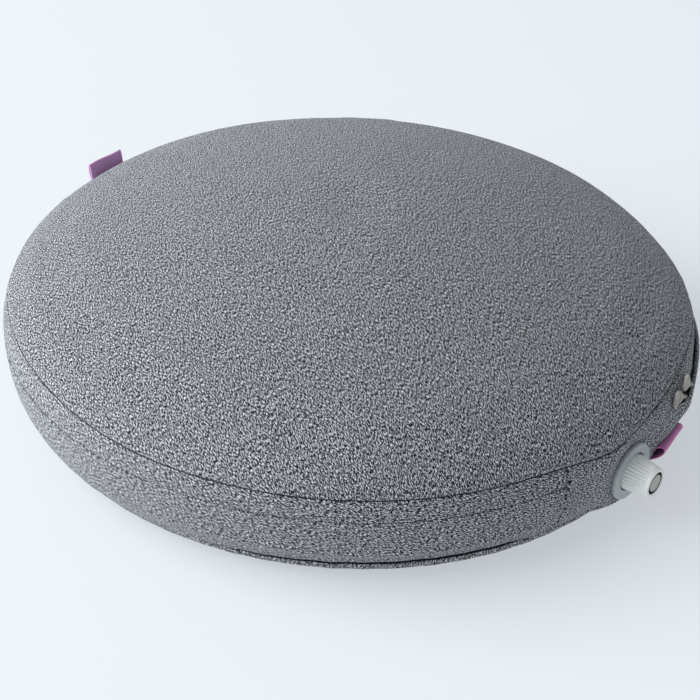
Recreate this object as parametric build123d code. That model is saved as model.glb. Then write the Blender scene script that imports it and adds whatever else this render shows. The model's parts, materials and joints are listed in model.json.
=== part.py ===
from build123d import *
import math
import os

# A round, air-filled wobble cushion in a zipped knitted cover.
# Millimetres. The origin is the centre of the flat patch that rests on the floor, +Z is up,
# and +X points out along the inflation valve. Angles go anticlockwise from +X seen from above.

# Outline of the inflated cover
RADIUS = 180.0           # widest radius, at the zip line
ZIP_Z = 46.0             # height of the widest circle, where the zip runs
DOME_RISE = 60.0         # height of the crown above the zip line
SHOULDER = 30.0          # radius of the shoulder above the zip line
FLOOR_RADIUS = 143.0     # radius of the flat patch that rests on the floor
CURL = 36.0              # radius of the underside's curl up from the floor

# The flank is the slacker arc that joins the curl to the widest circle, tangent to both
FLANK_INSET = RADIUS - FLOOR_RADIUS
FLANK = (FLANK_INSET**2 + (ZIP_Z - CURL) ** 2 - CURL**2) / (2 * (FLANK_INSET - CURL))
FLANK_ANGLE = math.degrees(math.asin((ZIP_Z - CURL) / (FLANK - CURL)))
FLANK_LOW = ZIP_Z - FLANK * math.sin(math.radians(FLANK_ANGLE))

# The crown is one large arc that meets the shoulder's arc at a tangent
CROWN = (RADIUS**2 + DOME_RISE**2 - 2 * RADIUS * SHOULDER) / (2 * (DOME_RISE - SHOULDER))
CROWN_CENTRE_Z = ZIP_Z + DOME_RISE - CROWN
CROWN_ANGLE = math.degrees(math.atan2(RADIUS - SHOULDER, CROWN - DOME_RISE))

# Seams and cover panels
TOP_SEAM_Z = 57.0        # seam between the crown panel and the side band
BOTTOM_SEAM_Z = 11.5     # seam between the side band and the bottom panel
FABRIC = 1.2             # thickness of the spacer knit
ZIP_SLOT = 7.8           # width of the slot that the zip fills, lip to lip
PANEL_FROM = -16.0       # the valve panel's two side seams, degrees
PANEL_TO = 13.2

# Bladder
BLADDER_GAP = 5.0        # from the outline in to the bladder
SKIN = 1.0               # thickness of the welded film
LAP = 6.0                # how far the lower skin reaches up inside the upper one

# Zip
COIL_HALF_GAP = 0.5      # from the zip's middle to the edge of each coil
COIL_WIDTH = 2.1
COIL_INNER = 176.6
COIL_OUTER = 178.6
TAPE = 0.6
TAPE_INSET = 2.2         # from the outline in to the tapes
TAPE_WIDTH = 7.0
STOP_WALL = 0.8
STOP_ANGLE = 0.8         # length of an end stop, degrees
SLIDER_ANGLE = 2.74      # length of a slider, degrees
SLIDER_HALF_WIDTH = 3.6
SLIDER_FLANGE = 0.7      # height of the flanges that hug the coils
FRONT_FLANGE_DEPTH = 0.7
BACK_FLANGE_DEPTH = 0.3
PLATE = 0.9              # thickness of a slider's front and back plate
FRONT_PLATE_INNER = 178.95
BACK_PLATE_OUTER = 176.25
DIVIDER = (3.0, 0.5)     # the wedge between the coils, long and thick
FIRST_SLIDER = 16.0      # where the two sliders are parked, degrees
SECOND_SLIDER = 19.6

# Pulls and the bars they swing on
BAR_RADIUS_FROM_CENTRE = 181.6
BAR_RADIUS = 0.5
BAR_LENGTH = 3.4
POST = 0.6
PULL_LENGTH = 18.5
PULL_THICKNESS = 2.4
PULL_EYE_WIDTH = 2.0
PULL_EYE_RADIUS = 1.5
PULL_END_WIDTH = 8.6
PULL_NECK = 2.6          # straight neck beside the eye
PULL_LIP = 3.2           # length of the parallel end with the lip
PULL_SLOT = (1.6, 5.6)   # cross slot just before the lip
PULL_RIDGE = (6.0, 0.5, 0.5)
PULL_RIDGE_PITCH = 1.1
PULL_CORNER = 2.0        # rounding of the wide end's corners
PULL_BORE_CLEARANCE = 0.08
FIRST_PULL_RISE = 27.0   # how far each parked pull points up from the zip, degrees
FIRST_PULL_DIP = 4.0     # how far it leans in towards the cover, degrees
SECOND_PULL_RISE = 36.0
SECOND_PULL_DIP = 3.0

# Valve, on an axis along +X
VALVE_Z = 30.0
PATCH_RADIUS = 18.0      # flat round patch of cover that the rosette is clamped to
PATCH_FACE = 177.0
ROSETTE_OUTER = 15.0
ROSETTE_INNER = 10.1
ROSETTE_THICKNESS = 2.4
ROSETTE_EDGE = 0.9       # rounding of its two front edges
BACK_RING_THICKNESS = 0.8
BLADDER_PATCH_FACE = 174.7
FLANGE_RADIUS = 14.5
FLANGE_THICKNESS = 1.8
STEM_OUTER = 6.5
STEM_BORE = 4.9
STEM_END = 186.5
CAP_BASE = 177.8
CAP_MOUTH = 192.5
CAP_BASE_RADIUS = 9.5
CAP_MOUTH_RADIUS = 7.75
CAP_COLLAR = 1.6         # smooth rim at the mouth
CAP_BORE_CLEARANCE = 0.06
CAP_RIBS = 30
RIB_WIDTH = 0.8
RIB_DEPTH = 0.9
RIB_PROUD = 0.35         # how far the ribs stand out of the grip's cone
MOUTH_RADIUS = 4.6
MOUTH_FLARE_RADIUS = 5.6
MOUTH_FLARE_DEPTH = 2.0
CAP_INNER_END = 188.6    # where the cap's wide bore stops
PLUG_HEAD_RADIUS = 4.4
PLUG_HEAD_LENGTH = 3.1
PLUG_PIN_RADIUS = 1.8
PLUG_SUNK = 0.3          # the plug's face lies this far inside the mouth
HUB_WALL = 0.8
HUB_LENGTH = 3.0
SPOKE_WIDTH = 1.2
SEAL_DEPTH = 0.6         # how deep the plug's seal groove is
SEAL_FROM_MOUTH = (3.0, 2.2)
O_RING_X = 181.5
O_RING_SECTION = 0.9
SEAL_CLEARANCE = 0.03
GROOVE_CLEARANCE = 0.05

# Ribbons
RIBBON = 0.9
RIBBON_WIDTH = 25.0
LOOP_ANGLE = 11.3        # middle of the ribbon beside the valve, degrees
LOOP_FOOT_LOW = 13.0     # the loop's foot lies on the panel between these heights
LOOP_FOOT_HIGH = 22.0
LOOP_REACH = 2.5         # from the top of the foot out to the loop's middle
LOOP_RISE = 4.6          # and up to it
LOOP_LENGTH = 15.0
LOOP_HEIGHT = 5.6
LOOP_SLANT = 47.0
TAB_ANGLE = 182.0        # middle of the folded tab nearly opposite the valve, degrees
TAB_LENGTH = 12.0        # the tab stands nearly upright on the top seam
TAB_LEAN = 10.0          # outwards, in degrees from upright
TAB_ROOT = 1.0           # how far it starts below the seam
TAB_THICKNESS = 2.4
STITCH_GAP = 0.05        # between a ribbon and the cover it is sewn to


def cushion_solid(inset):
    """The cushion's outline as a solid, drawn in everywhere by inset."""
    base = Line((0, inset), (FLOOR_RADIUS, inset))
    curl = CenterArc((FLOOR_RADIUS, CURL), CURL - inset, 270, 90 - FLANK_ANGLE)
    flank = CenterArc((RADIUS - FLANK, ZIP_Z), FLANK - inset, -FLANK_ANGLE, FLANK_ANGLE)
    shoulder = CenterArc((RADIUS - SHOULDER, ZIP_Z), SHOULDER - inset, 0, 90 - CROWN_ANGLE)
    crown = CenterArc((0, CROWN_CENTRE_Z), CROWN - inset, 90 - CROWN_ANGLE, CROWN_ANGLE)
    middle = Line((0, ZIP_Z + DOME_RISE - inset), (0, inset))
    return revolve(Plane.XZ * make_face([base, curl, flank, shoulder, crown, middle]), Axis.Z, 360)


def surface_radius(z):
    """Radius of the outline at height z, up to the top of the shoulder."""
    if z >= ZIP_Z:
        return RADIUS - SHOULDER + math.sqrt(SHOULDER**2 - (z - ZIP_Z) ** 2)
    if z >= FLANK_LOW:
        return RADIUS - FLANK + math.sqrt(FLANK**2 - (ZIP_Z - z) ** 2)
    return FLOOR_RADIUS + math.sqrt(CURL**2 - (CURL - z) ** 2)


def ring(inner, outer, low, high):
    """A plain ring about Z."""
    profile = Plane.XZ * Pos((inner + outer) / 2, (low + high) / 2) * Rectangle(outer - inner, high - low)
    return revolve(profile, Axis.Z, 360)


def wedge(start, end):
    """A tall wedge about Z between two angles less than a half turn apart."""
    reach = 2 * RADIUS
    near = (reach * math.cos(math.radians(start)), reach * math.sin(math.radians(start)))
    far = (reach * math.cos(math.radians(end)), reach * math.sin(math.radians(end)))
    face = make_face(Polyline((0, 0), near, far, close=True))
    return Pos(0, 0, -20) * extrude(face, 200)


def x_disc(radius, start, end):
    """A disc or rod on the valve's axis between two distances along X."""
    rod = Cylinder(radius, end - start)
    return Pos((start + end) / 2, 0, VALVE_Z) * Rot(0, 90, 0) * rod


def x_tube(outer, inner, start, end):
    return x_disc(outer, start, end) - x_disc(inner, start - 1, end + 1)


def around(angle, shape):
    """Turns a shape made at the +X side round to an angle."""
    return Rot(0, 0, angle) * shape


OUTSIDE = cushion_solid(0)
INSIDE = cushion_solid(FABRIC)
SHELL = OUTSIDE - INSIDE
VALVE_WEDGE = wedge(PANEL_FROM, PANEL_TO)
ABOVE_TOP_SEAM = ring(0, 2 * RADIUS, TOP_SEAM_Z, 2 * RADIUS)
BELOW_BOTTOM_SEAM = ring(0, 2 * RADIUS, -10, BOTTOM_SEAM_Z)
SIDE_WALL = SHELL - ABOVE_TOP_SEAM - BELOW_BOTTOM_SEAM


# Cover: five knitted panels that meet edge to edge at their seams

def cover_top_panel():
    return SHELL & ABOVE_TOP_SEAM


def cover_bottom_panel():
    return SHELL & BELOW_BOTTOM_SEAM


def cover_upper_band():
    zone = ring(FLOOR_RADIUS, 2 * RADIUS, ZIP_Z + ZIP_SLOT / 2, TOP_SEAM_Z)
    return (SIDE_WALL & zone) - VALVE_WEDGE


def cover_lower_band():
    zone = ring(FLOOR_RADIUS, 2 * RADIUS, BOTTOM_SEAM_Z, ZIP_Z - ZIP_SLOT / 2)
    return (SIDE_WALL & zone) - VALVE_WEDGE


def patched_skin(outer, inner, patch_radius, patch_face, thickness):
    """A thin skin pressed flat in a round patch that faces +X."""
    raised = outer + x_disc(patch_radius, FLOOR_RADIUS, patch_face)
    raised -= x_disc(patch_radius, patch_face, RADIUS + 20)
    hollow = inner + x_disc(patch_radius - thickness, FLOOR_RADIUS, patch_face - thickness)
    hollow -= x_disc(patch_radius + thickness, patch_face - thickness, RADIUS + 20)
    return raised - hollow


def cover_valve_panel():
    skin = patched_skin(OUTSIDE, INSIDE, PATCH_RADIUS, PATCH_FACE, FABRIC)
    panel = (skin - ABOVE_TOP_SEAM - BELOW_BOTTOM_SEAM) & VALVE_WEDGE
    return panel - x_disc(ROSETTE_INNER, PATCH_FACE - 10, PATCH_FACE + 10)


# Bladder: two films welded in a lap, the lower one carrying the valve

BLADDER_OUTSIDE = cushion_solid(BLADDER_GAP)
BLADDER_INSIDE = cushion_solid(BLADDER_GAP + SKIN)
BLADDER_CORE = cushion_solid(BLADDER_GAP + 2 * SKIN)


def bladder_top_skin():
    return (BLADDER_OUTSIDE - BLADDER_INSIDE) & ring(0, 2 * RADIUS, ZIP_Z, 2 * RADIUS)


def bladder_bottom_skin():
    skin = patched_skin(
        BLADDER_OUTSIDE, BLADDER_INSIDE, FLANGE_RADIUS + 1, BLADDER_PATCH_FACE, SKIN
    )
    skin -= ring(0, 2 * RADIUS, ZIP_Z, 2 * RADIUS)
    lap = (BLADDER_INSIDE - BLADDER_CORE) & ring(0, 2 * RADIUS, ZIP_Z - 2, ZIP_Z + LAP)
    lap -= x_disc(FLANGE_RADIUS + 1 + SKIN, FLOOR_RADIUS, RADIUS)
    skin = skin + lap
    return skin - x_disc(STEM_OUTER, BLADDER_PATCH_FACE - 10, BLADDER_PATCH_FACE + 5)


# Zip: two tapes, two coils, end stops and two sliders with their pulls

def zip_span(shape):
    """Keeps the part of a ring that lies between the valve panel's side seams."""
    return shape - VALVE_WEDGE


def tape(low, high):
    film = cushion_solid(TAPE_INSET) - cushion_solid(TAPE_INSET + TAPE)
    return zip_span(film & ring(FLOOR_RADIUS, 2 * RADIUS, low, high))


COIL_EDGE = COIL_HALF_GAP + COIL_WIDTH


def zip_upper_tape():
    return tape(ZIP_Z + COIL_EDGE, ZIP_Z + COIL_EDGE + TAPE_WIDTH)


def zip_lower_tape():
    return tape(ZIP_Z - COIL_EDGE - TAPE_WIDTH, ZIP_Z - COIL_EDGE)


def zip_upper_coil():
    coil = ring(COIL_INNER, COIL_OUTER, ZIP_Z + COIL_HALF_GAP, ZIP_Z + COIL_EDGE)
    return zip_span(coil)


def zip_lower_coil():
    coil = ring(COIL_INNER, COIL_OUTER, ZIP_Z - COIL_EDGE, ZIP_Z - COIL_HALF_GAP)
    return zip_span(coil)


def zip_end_stops():
    """A moulded stop over the coils at each end of the zip."""
    inner = COIL_INNER - STOP_WALL
    outer = COIL_OUTER + STOP_WALL
    block = ring(inner, COIL_INNER, ZIP_Z - COIL_EDGE, ZIP_Z + COIL_EDGE)
    block += ring(COIL_OUTER, outer, ZIP_Z - COIL_EDGE, ZIP_Z + COIL_EDGE)
    block += ring(inner, outer, ZIP_Z - COIL_HALF_GAP, ZIP_Z + COIL_HALF_GAP)
    start = block & wedge(PANEL_TO, PANEL_TO + STOP_ANGLE)
    end = block & wedge(PANEL_FROM - STOP_ANGLE, PANEL_FROM)
    return Compound(children=start.solids() + end.solids())


def pull_frame(rise, dip):
    """Frame of a parked pull: X runs from the bar to the pull's end, Y along the bar, Z outwards."""
    rise_angle = math.radians(rise)
    dip_angle = math.radians(dip)
    along = Vector(
        -math.sin(dip_angle),
        -math.cos(dip_angle) * math.cos(rise_angle),
        math.cos(dip_angle) * math.sin(rise_angle),
    )
    bar = Vector(0, math.sin(rise_angle), math.cos(rise_angle))
    outwards = bar.cross(along)
    origin = Vector(BAR_RADIUS_FROM_CENTRE, 0, ZIP_Z)
    return Plane(origin=origin, x_dir=along, z_dir=outwards)


def slider(rise):
    """Two curved plates, a thin post between the coils, side flanges and the bar for the pull."""
    low = ZIP_Z - SLIDER_HALF_WIDTH
    high = ZIP_Z + SLIDER_HALF_WIDTH
    front_outer = FRONT_PLATE_INNER + PLATE
    back_inner = BACK_PLATE_OUTER - PLATE
    body = ring(FRONT_PLATE_INNER, front_outer, low, high)
    body += ring(back_inner, BACK_PLATE_OUTER, low, high)
    for edge in (low, high - SLIDER_FLANGE):
        front_lip = FRONT_PLATE_INNER - FRONT_FLANGE_DEPTH
        back_lip = BACK_PLATE_OUTER + BACK_FLANGE_DEPTH
        body += ring(front_lip, FRONT_PLATE_INNER, edge, edge + SLIDER_FLANGE)
        body += ring(BACK_PLATE_OUTER, back_lip, edge, edge + SLIDER_FLANGE)
    body &= wedge(-SLIDER_ANGLE / 2, SLIDER_ANGLE / 2)
    divider_depth = FRONT_PLATE_INNER - BACK_PLATE_OUTER + PLATE
    divider = Box(divider_depth, *DIVIDER)
    body += Pos((FRONT_PLATE_INNER + BACK_PLATE_OUTER) / 2, DIVIDER[0] / 2, ZIP_Z) * divider
    frame = Plane(
        origin=(BAR_RADIUS_FROM_CENTRE, 0, ZIP_Z),
        x_dir=(0, -math.cos(math.radians(rise)), math.sin(math.radians(rise))),
        z_dir=(1, 0, 0),
    )
    body += frame * Rot(90, 0, 0) * Cylinder(BAR_RADIUS, BAR_LENGTH)
    post_height = BAR_RADIUS_FROM_CENTRE + BAR_RADIUS - front_outer + 0.2
    for side in (-1, 1):
        offset = side * (BAR_LENGTH - POST) / 2
        post = Box(2 * BAR_RADIUS + 0.4, POST, post_height)
        body += frame * Pos(0, offset, BAR_RADIUS - post_height / 2) * post
    return body


def pull():
    """A tapered tab with an eye at one end and a cross slot by a thick rounded lip at the other."""
    half_eye = PULL_EYE_WIDTH / 2
    half_end = PULL_END_WIDTH / 2
    outline = Polyline(
        (0, -half_eye),
        (PULL_NECK, -half_eye),
        (PULL_LENGTH - PULL_LIP, -half_end),
        (PULL_LENGTH, -half_end),
        (PULL_LENGTH, half_end),
        (PULL_LENGTH - PULL_LIP, half_end),
        (PULL_NECK, half_eye),
        (0, half_eye),
        close=True,
    )
    plate = extrude(make_face(outline), PULL_THICKNESS / 2, both=True)
    ends = plate.edges().filter_by(Axis.Z).sort_by(Axis.X)[-2:]
    plate = fillet(ends, PULL_CORNER)
    plate += Rot(90, 0, 0) * Cylinder(PULL_EYE_RADIUS, PULL_EYE_WIDTH)
    for row in (-1, 0, 1):
        plate += Pos(PULL_LENGTH / 2, PULL_RIDGE_PITCH * row, PULL_THICKNESS / 2) * Box(*PULL_RIDGE)
    slot_middle = PULL_LENGTH - PULL_LIP - PULL_SLOT[0] / 2
    plate -= Pos(slot_middle, 0, 0) * Box(*PULL_SLOT, 10)
    return plate - Rot(90, 0, 0) * Cylinder(BAR_RADIUS + PULL_BORE_CLEARANCE, 20)


# Valve: flanged stem, fixed plug on a spoked pin, twist cap with its O-ring, and the cover's rosette

def valve_stem():
    flange_end = BLADDER_PATCH_FACE - SKIN
    flange = x_tube(FLANGE_RADIUS, STEM_BORE, flange_end - FLANGE_THICKNESS, flange_end)
    return flange + x_tube(STEM_OUTER, STEM_BORE, flange_end - FLANGE_THICKNESS, STEM_END)


def valve_plug():
    """The fixed stopper that closes the cap's mouth, on a pin held by three spokes in the stem."""
    start = BLADDER_PATCH_FACE
    hub = x_tube(STEM_BORE, STEM_BORE - HUB_WALL, start, start + HUB_LENGTH)
    spoke_length = STEM_BORE - HUB_WALL / 2
    spoke = Pos(0, 0, spoke_length / 2) * Box(HUB_LENGTH, SPOKE_WIDTH, spoke_length)
    for turn in range(3):
        hub += Pos(start + HUB_LENGTH / 2, 0, VALVE_Z) * Rot(120 * turn, 0, 0) * spoke
    head_end = CAP_MOUTH - PLUG_SUNK
    head_start = head_end - PLUG_HEAD_LENGTH
    pin = x_disc(PLUG_PIN_RADIUS, start, head_start + SEAL_DEPTH)
    head = x_disc(PLUG_HEAD_RADIUS, head_start, head_end)
    return hub + pin + head - seal_groove(PLUG_HEAD_RADIUS + 1)


def seal_groove(outer):
    """The ring of space round the plug's head that its seal fills."""
    start = CAP_MOUTH - SEAL_FROM_MOUTH[0]
    end = CAP_MOUTH - SEAL_FROM_MOUTH[1]
    return x_tube(outer, PLUG_HEAD_RADIUS - SEAL_DEPTH, start, end)


def plug_seal():
    return seal_groove(MOUTH_RADIUS - SEAL_CLEARANCE)


def cap_o_ring():
    half = O_RING_SECTION / 2
    inner = STEM_OUTER + SEAL_CLEARANCE
    return x_tube(STEM_OUTER + O_RING_SECTION, inner, O_RING_X - half, O_RING_X + half)


def valve_cap():
    """A tapered grip with ribs down to a smooth rim, bored for the stem and flared at the mouth."""
    length = CAP_MOUTH - CAP_BASE
    grip_length = length - CAP_COLLAR
    grip = Cone(CAP_BASE_RADIUS - RIB_PROUD, CAP_MOUTH_RADIUS - RIB_PROUD, grip_length)
    place = Pos(CAP_BASE + grip_length / 2, 0, VALVE_Z) * Rot(0, 90, 0)
    body = place * grip
    body += x_disc(CAP_MOUTH_RADIUS, CAP_MOUTH - CAP_COLLAR, CAP_MOUTH)
    taper = math.degrees(math.atan((CAP_BASE_RADIUS - CAP_MOUTH_RADIUS) / grip_length))
    middle_radius = (CAP_BASE_RADIUS + CAP_MOUTH_RADIUS - RIB_DEPTH) / 2
    bar = Pos(middle_radius, 0, 0) * Rot(0, -taper, 0) * Box(RIB_DEPTH, RIB_WIDTH, grip_length - 0.4)
    for rib in range(CAP_RIBS):
        body += place * Rot(0, 0, 360 * rib / CAP_RIBS) * bar
    body -= x_disc(STEM_OUTER + CAP_BORE_CLEARANCE, CAP_BASE - 1, CAP_INNER_END)
    body -= x_disc(MOUTH_RADIUS, CAP_INNER_END - 1, CAP_MOUTH + 1)
    flare = Cone(MOUTH_RADIUS, MOUTH_FLARE_RADIUS, MOUTH_FLARE_DEPTH)
    body -= Pos(CAP_MOUTH - MOUTH_FLARE_DEPTH / 2, 0, VALVE_Z) * Rot(0, 90, 0) * flare
    groove_half = O_RING_SECTION / 2 + GROOVE_CLEARANCE
    groove_radius = STEM_OUTER + O_RING_SECTION + GROOVE_CLEARANCE
    groove = x_disc(groove_radius, O_RING_X - groove_half, O_RING_X + groove_half)
    return body - groove


def cover_rosette():
    body = x_tube(ROSETTE_OUTER, ROSETTE_INNER, PATCH_FACE, PATCH_FACE + ROSETTE_THICKNESS)
    front = body.faces().sort_by(Axis.X)[-1]
    return fillet(front.edges(), ROSETTE_EDGE)


def rosette_back_ring():
    """The washer behind the fabric that the rosette is clamped to."""
    front = PATCH_FACE - FABRIC
    return x_tube(ROSETTE_OUTER - 1, ROSETTE_INNER, front - BACK_RING_THICKNESS, front)


# Ribbons

def ribbon_wedge(angle):
    """The wedge that cuts a ribbon to its width about an angle."""
    half_angle = math.degrees(RIBBON_WIDTH / 2 / RADIUS)
    return wedge(angle - half_angle, angle + half_angle)


def valve_side_loop():
    """A finger loop beside the valve: its foot is sewn to the panel and it stands out and up."""
    foot_skin = cushion_solid(-RIBBON - STITCH_GAP) - cushion_solid(-STITCH_GAP)
    foot = foot_skin & ring(FLOOR_RADIUS, 2 * RADIUS, LOOP_FOOT_LOW, LOOP_FOOT_HIGH)
    middle = Pos(surface_radius(LOOP_FOOT_HIGH) + LOOP_REACH, LOOP_FOOT_HIGH + LOOP_RISE)
    outer = middle * Rot(0, 0, LOOP_SLANT) * SlotOverall(LOOP_LENGTH, LOOP_HEIGHT)
    inner = middle * Rot(0, 0, LOOP_SLANT) * SlotOverall(
        LOOP_LENGTH - 2 * RIBBON, LOOP_HEIGHT - 2 * RIBBON
    )
    loop = revolve(Plane.XZ * (outer - inner), Axis.Z, 360) - cushion_solid(-STITCH_GAP)
    return (foot + loop) & ribbon_wedge(LOOP_ANGLE)


def far_side_tab():
    """A folded ribbon tab opposite the valve, sewn into the top seam so that it stands up."""
    root = Pos(surface_radius(TOP_SEAM_Z), TOP_SEAM_Z - TAB_ROOT) * Rot(0, 0, 90 - TAB_LEAN)
    middle = root * Pos(TAB_LENGTH / 2, 0)
    fold = middle * SlotOverall(TAB_LENGTH, TAB_THICKNESS)
    crease = middle * SlotOverall(TAB_LENGTH - 2 * RIBBON, TAB_THICKNESS - 2 * RIBBON)
    tab = revolve(Plane.XZ * (fold - crease), Axis.Z, 360) - cushion_solid(-STITCH_GAP)
    return tab & ribbon_wedge(TAB_ANGLE)


def parked_pull(rise, dip, angle):
    return around(angle, pull_frame(rise, dip) * pull())


PARTS = {
    "cover_top_panel": cover_top_panel(),
    "cover_upper_band": cover_upper_band(),
    "cover_lower_band": cover_lower_band(),
    "cover_valve_panel": cover_valve_panel(),
    "cover_bottom_panel": cover_bottom_panel(),
    "bladder_top_skin": bladder_top_skin(),
    "bladder_bottom_skin": bladder_bottom_skin(),
    "zip_upper_tape": zip_upper_tape(),
    "zip_lower_tape": zip_lower_tape(),
    "zip_upper_coil": zip_upper_coil(),
    "zip_lower_coil": zip_lower_coil(),
    "zip_end_stops": zip_end_stops(),
    "first_zip_slider": around(FIRST_SLIDER, slider(FIRST_PULL_RISE)),
    "second_zip_slider": around(SECOND_SLIDER, slider(SECOND_PULL_RISE)),
    "first_zip_pull": parked_pull(FIRST_PULL_RISE, FIRST_PULL_DIP, FIRST_SLIDER),
    "second_zip_pull": parked_pull(SECOND_PULL_RISE, SECOND_PULL_DIP, SECOND_SLIDER),
    "valve_stem": valve_stem(),
    "valve_plug": valve_plug(),
    "plug_seal": plug_seal(),
    "cap_o_ring": cap_o_ring(),
    "valve_cap": valve_cap(),
    "cover_rosette": cover_rosette(),
    "rosette_back_ring": rosette_back_ring(),
    "valve_side_loop": valve_side_loop(),
    "far_side_tab": far_side_tab(),
}

os.makedirs("parts", exist_ok=True)
for name, shape in PARTS.items():
    export_step(shape, f"parts/{name}.step")
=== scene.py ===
# %% [markdown]
# A wobble cushion is an air bladder in a fitted knitted cover. The rigid parts (zip sliders, the
# valve and its cap) are already solid models, so this lesson loads them as a fixed frame and then
# makes what a solid modeller is poor at: the soft cover, its seams and lips, the ribbons and all
# the finishes. Every length is in metres, in the solid model's own frame: +Z is up and +X points
# out along the valve.

import json
import math

import bmesh
import bpy
import numpy as np
from mathutils import Matrix, Vector


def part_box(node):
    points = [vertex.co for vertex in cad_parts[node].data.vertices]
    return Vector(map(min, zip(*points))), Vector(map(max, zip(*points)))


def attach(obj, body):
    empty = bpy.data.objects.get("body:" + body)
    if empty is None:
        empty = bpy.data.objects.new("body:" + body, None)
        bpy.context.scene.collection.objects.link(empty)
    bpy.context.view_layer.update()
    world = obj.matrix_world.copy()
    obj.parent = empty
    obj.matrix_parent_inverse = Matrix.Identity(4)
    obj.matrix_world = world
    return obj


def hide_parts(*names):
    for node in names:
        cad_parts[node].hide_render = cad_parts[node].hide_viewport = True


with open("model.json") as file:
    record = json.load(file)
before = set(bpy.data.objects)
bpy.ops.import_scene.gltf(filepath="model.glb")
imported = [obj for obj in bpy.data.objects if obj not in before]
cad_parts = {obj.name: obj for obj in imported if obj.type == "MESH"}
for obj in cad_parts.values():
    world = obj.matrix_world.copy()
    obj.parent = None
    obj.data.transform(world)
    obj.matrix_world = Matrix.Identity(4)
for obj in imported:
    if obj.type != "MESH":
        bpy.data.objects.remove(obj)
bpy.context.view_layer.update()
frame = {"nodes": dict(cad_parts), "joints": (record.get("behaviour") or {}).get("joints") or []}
joints = {joint["name"]: joint for joint in frame["joints"]}

# %% [markdown]
# The outline of the inflated cover is a shape turned about Z. Five stretches meet smoothly: a flat
# patch on the floor, a tight curl, a nearly upright flank below the zip, a shoulder above it and a
# crown that is one large arc. The heights come from the frame: the zip's from its joint, the
# seams' and the crown's from the cover panels.

# %% The outline and where the seams lie on it
MM = 0.001
ZIP_Z = joints["second_slider_run"]["pos_m"][2]
RADIUS = round(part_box("cover_lower_band")[1].y, 3)
CROWN_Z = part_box("cover_top_panel")[1].z
TOP_SEAM_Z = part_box("cover_top_panel")[0].z
BOTTOM_SEAM_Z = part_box("cover_bottom_panel")[1].z
SHOULDER = 30 * MM
CURL = 36 * MM
CURL_REACH = math.sqrt(CURL**2 - (CURL - BOTTOM_SEAM_Z) ** 2)
FLOOR_RADIUS = round(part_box("cover_bottom_panel")[1].x - CURL_REACH, 3)
INSET = RADIUS - FLOOR_RADIUS
FLANK = (INSET**2 + (ZIP_Z - CURL) ** 2 - CURL**2) / (2 * (INSET - CURL))
FLANK_ANGLE = math.asin((ZIP_Z - CURL) / (FLANK - CURL))
FLANK_END = -FLANK * FLANK_ANGLE
CURL_END = FLANK_END - CURL * (math.pi / 2 - FLANK_ANGLE)
FLOOR_CENTRE = CURL_END - FLOOR_RADIUS
RISE = CROWN_Z - ZIP_Z
CROWN = (RADIUS**2 + RISE**2 - 2 * RADIUS * SHOULDER) / (2 * (RISE - SHOULDER))
CROWN_ANGLE = math.atan2(RADIUS - SHOULDER, CROWN - RISE)
SHOULDER_END = SHOULDER * (math.pi / 2 - CROWN_ANGLE)
POLE = SHOULDER_END + CROWN * CROWN_ANGLE
ARCS = [
    (CURL_END, CURL, FLOOR_RADIUS, CURL, -math.pi / 2),
    (FLANK_END, FLANK, RADIUS - FLANK, ZIP_Z, -FLANK_ANGLE),
    (0.0, SHOULDER, RADIUS - SHOULDER, ZIP_Z, 0.0),
    (SHOULDER_END, CROWN, 0.0, CROWN_Z - CROWN, math.pi / 2 - CROWN_ANGLE),
]


def outline(s):
    """Radius, height and outward normal at the distance s along the outline, up from the zip."""
    s = np.asarray(s, float)
    radius, height = s - FLOOR_CENTRE, np.zeros_like(s)
    normal_r, normal_z = np.zeros_like(s), np.full_like(s, -1.0)
    for start, bend, centre_r, centre_z, lean in ARCS:
        angle = lean + (s - start) / bend
        on_arc = s >= start
        radius = np.where(on_arc, centre_r + bend * np.cos(angle), radius)
        height = np.where(on_arc, centre_z + bend * np.sin(angle), height)
        normal_r = np.where(on_arc, np.cos(angle), normal_r)
        normal_z = np.where(on_arc, np.sin(angle), normal_z)
    return radius, height, normal_r, normal_z


TOP_SEAM = SHOULDER * math.asin((TOP_SEAM_Z - ZIP_Z) / SHOULDER)
BOTTOM_SEAM = FLANK_END - CURL * (math.asin((CURL - BOTTOM_SEAM_Z) / CURL) - FLANK_ANGLE)
print("top seam", round(TOP_SEAM, 4), "bottom seam", round(BOTTOM_SEAM, 4), "pole", round(POLE, 4))

# %% [markdown]
# The zip goes round the side and stops either side of the valve, so the two bands have ends. The
# end angles are read from the zip's stops. Angles go anticlockwise from the valve.

# %% Where the bands end, and where the valve sits
STOP_ANGLE = math.radians(0.8)
stops_low, stops_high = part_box("zip_end_stops")
ZIP_START = math.asin(stops_high.y / RADIUS) - STOP_ANGLE
ZIP_END = 2 * math.pi + math.asin(stops_low.y / RADIUS) + STOP_ANGLE
rosette_low, rosette_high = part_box("cover_rosette")
VALVE_Z = (rosette_low.z + rosette_high.z) / 2
PATCH_X = rosette_low.x
ROSETTE_RADIUS = (rosette_high.z - rosette_low.z) / 2
print("zip from", round(math.degrees(ZIP_START), 1), "to", round(math.degrees(ZIP_END), 1), "degrees")


def ease(low, high, x):
    """0 below low, 1 above high and a smooth S between."""
    t = np.clip((np.asarray(x, float) - low) / (high - low), 0, 1)
    return t * t * (3 - 2 * t)


def press_at_valve(points):
    """Draws the cover out flat round the valve, where the rosette clamps it."""
    flat = points.copy()
    away = np.hypot(points[:, 1], points[:, 2] - VALVE_Z)
    hold = 1 - ease(ROSETTE_RADIUS * 0.95, ROSETTE_RADIUS * 1.9, away)
    hold = hold * (points[:, 0] > 0)
    flat[:, 0] += (PATCH_X - points[:, 0]) * hold
    return flat


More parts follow.
